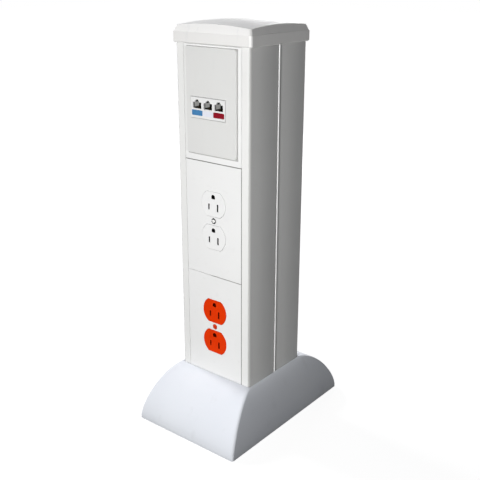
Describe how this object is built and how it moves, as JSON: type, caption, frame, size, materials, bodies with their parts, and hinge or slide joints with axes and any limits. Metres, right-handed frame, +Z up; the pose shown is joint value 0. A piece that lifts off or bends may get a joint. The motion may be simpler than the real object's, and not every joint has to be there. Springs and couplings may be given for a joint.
{
  "type": "cable column",
  "caption": "Square floor column for power and data, with a flared floor skirt, stepped cap, raised data plate and stacked duplex receptacles.",
  "frame": {"origin": "on the floor at the middle of the column and its skirt", "axes": "+Z up, the front with the receptacles faces -Y, +X to the right seen from the front"},
  "size_m": [0.146, 0.214, 0.4689],
  "materials": {
    "column_paint": "satin white powder coat",
    "cover_paint": "satin white powder coat",
    "skirt_plastic": "fine matt moulded plastic",
    "cap_plastic": "fine matt moulded plastic",
    "plate_plastic": "satin moulded plastic",
    "frame_plastic": "satin moulded plastic",
    "white_device": "smooth moulded plastic",
    "orange_device": "smooth moulded plastic",
    "device_back": "matt moulded thermoset",
    "jack_black": "matt moulded plastic",
    "jack_cap_grey": "matt moulded plastic",
    "contact_gold": "bright plated",
    "bus_brass": "bare",
    "zinc_steel": "zinc plated",
    "brass_screw": "bare",
    "silver_screw": "nickel plated",
    "green_screw": "green dyed",
    "lug_copper": "tinned copper alloy",
    "bush_black": "matt moulded plastic",
    "trim_white": "smooth extruded plastic",
    "tab_blue": "smooth moulded plastic",
    "tab_white": "smooth moulded plastic",
    "tab_red": "smooth moulded plastic",
    "white_screw": "painted head",
    "orange_screw": "painted head"
  },
  "bodies": {
    "column": {"column_profile": "column_paint", "groove_trims": "trim_white", "floor_flange": "zinc_steel", "entry_bushes": "bush_black", "foot_front": "zinc_steel", "foot_rear": "zinc_steel", "foot_bolts": "zinc_steel", "foot_screws": "zinc_steel", "low_cover": "cover_paint", "rear_cover_low": "cover_paint", "low_cover_screw": "orange_screw", "port_frame": "frame_plastic", "port_strap": "zinc_steel", "jack_left": "jack_black", "jack_middle": "jack_black", "jack_right": "jack_black", "tab_left": "tab_blue", "tab_middle": "tab_white", "tab_right": "tab_red", "jack_caps": "jack_cap_grey", "jack_contacts": "contact_gold", "bracket_low": "zinc_steel", "bracket_middle": "zinc_steel", "bracket_data": "zinc_steel", "bracket_screws": "zinc_steel", "barrier": "zinc_steel", "barrier_screws": "zinc_steel", "bonding_lug": "lug_copper", "bonding_lug_screws": "green_screw", "window_grommet": "bush_black", "orange_face": "orange_device", "orange_body": "device_back", "orange_strap": "zinc_steel", "orange_line_bus": "bus_brass", "orange_neutral_bus": "bus_brass", "orange_ground_bus": "bus_brass", "white_face": "white_device", "white_body": "device_back", "white_strap": "zinc_steel", "white_line_bus": "bus_brass", "white_neutral_bus": "bus_brass", "white_ground_bus": "bus_brass", "ground_screws": "green_screw", "line_screws": "brass_screw", "neutral_screws": "silver_screw", "strap_screws": "zinc_steel"},
    "cap": {"cap": "cap_plastic"},
    "skirt": {"floor_skirt": "skirt_plastic"},
    "mid_cover": {"mid_cover": "cover_paint", "mid_cover_screw": "white_screw"},
    "top_cover": {"top_cover": "cover_paint"},
    "data_plate": {"data_plate": "plate_plastic"},
    "rear_cover": {"rear_cover_top": "cover_paint"}
  },
  "joints": [
    {"name": "cap_lift", "type": "slide", "parent": "column", "child": "cap", "axis": [0, 0, 1], "range_m": [0, 0.03]},
    {"name": "skirt_lift", "type": "slide", "parent": "column", "child": "skirt", "axis": [0, 0, 1], "range_m": [0, 0.024]},
    {"name": "mid_cover_pull", "type": "slide", "parent": "column", "child": "mid_cover", "axis": [0, -1, 0], "range_m": [0, 0.02]},
    {"name": "top_cover_pull", "type": "slide", "parent": "column", "child": "top_cover", "axis": [0, -1, 0], "range_m": [0, 0.02]},
    {"name": "data_plate_pull", "type": "slide", "parent": "top_cover", "child": "data_plate", "axis": [0, -1, 0], "range_m": [0, 0.012]},
    {"name": "rear_cover_pull", "type": "slide", "parent": "column", "child": "rear_cover", "axis": [0, 1, 0], "range_m": [0, 0.02]}
  ]
}
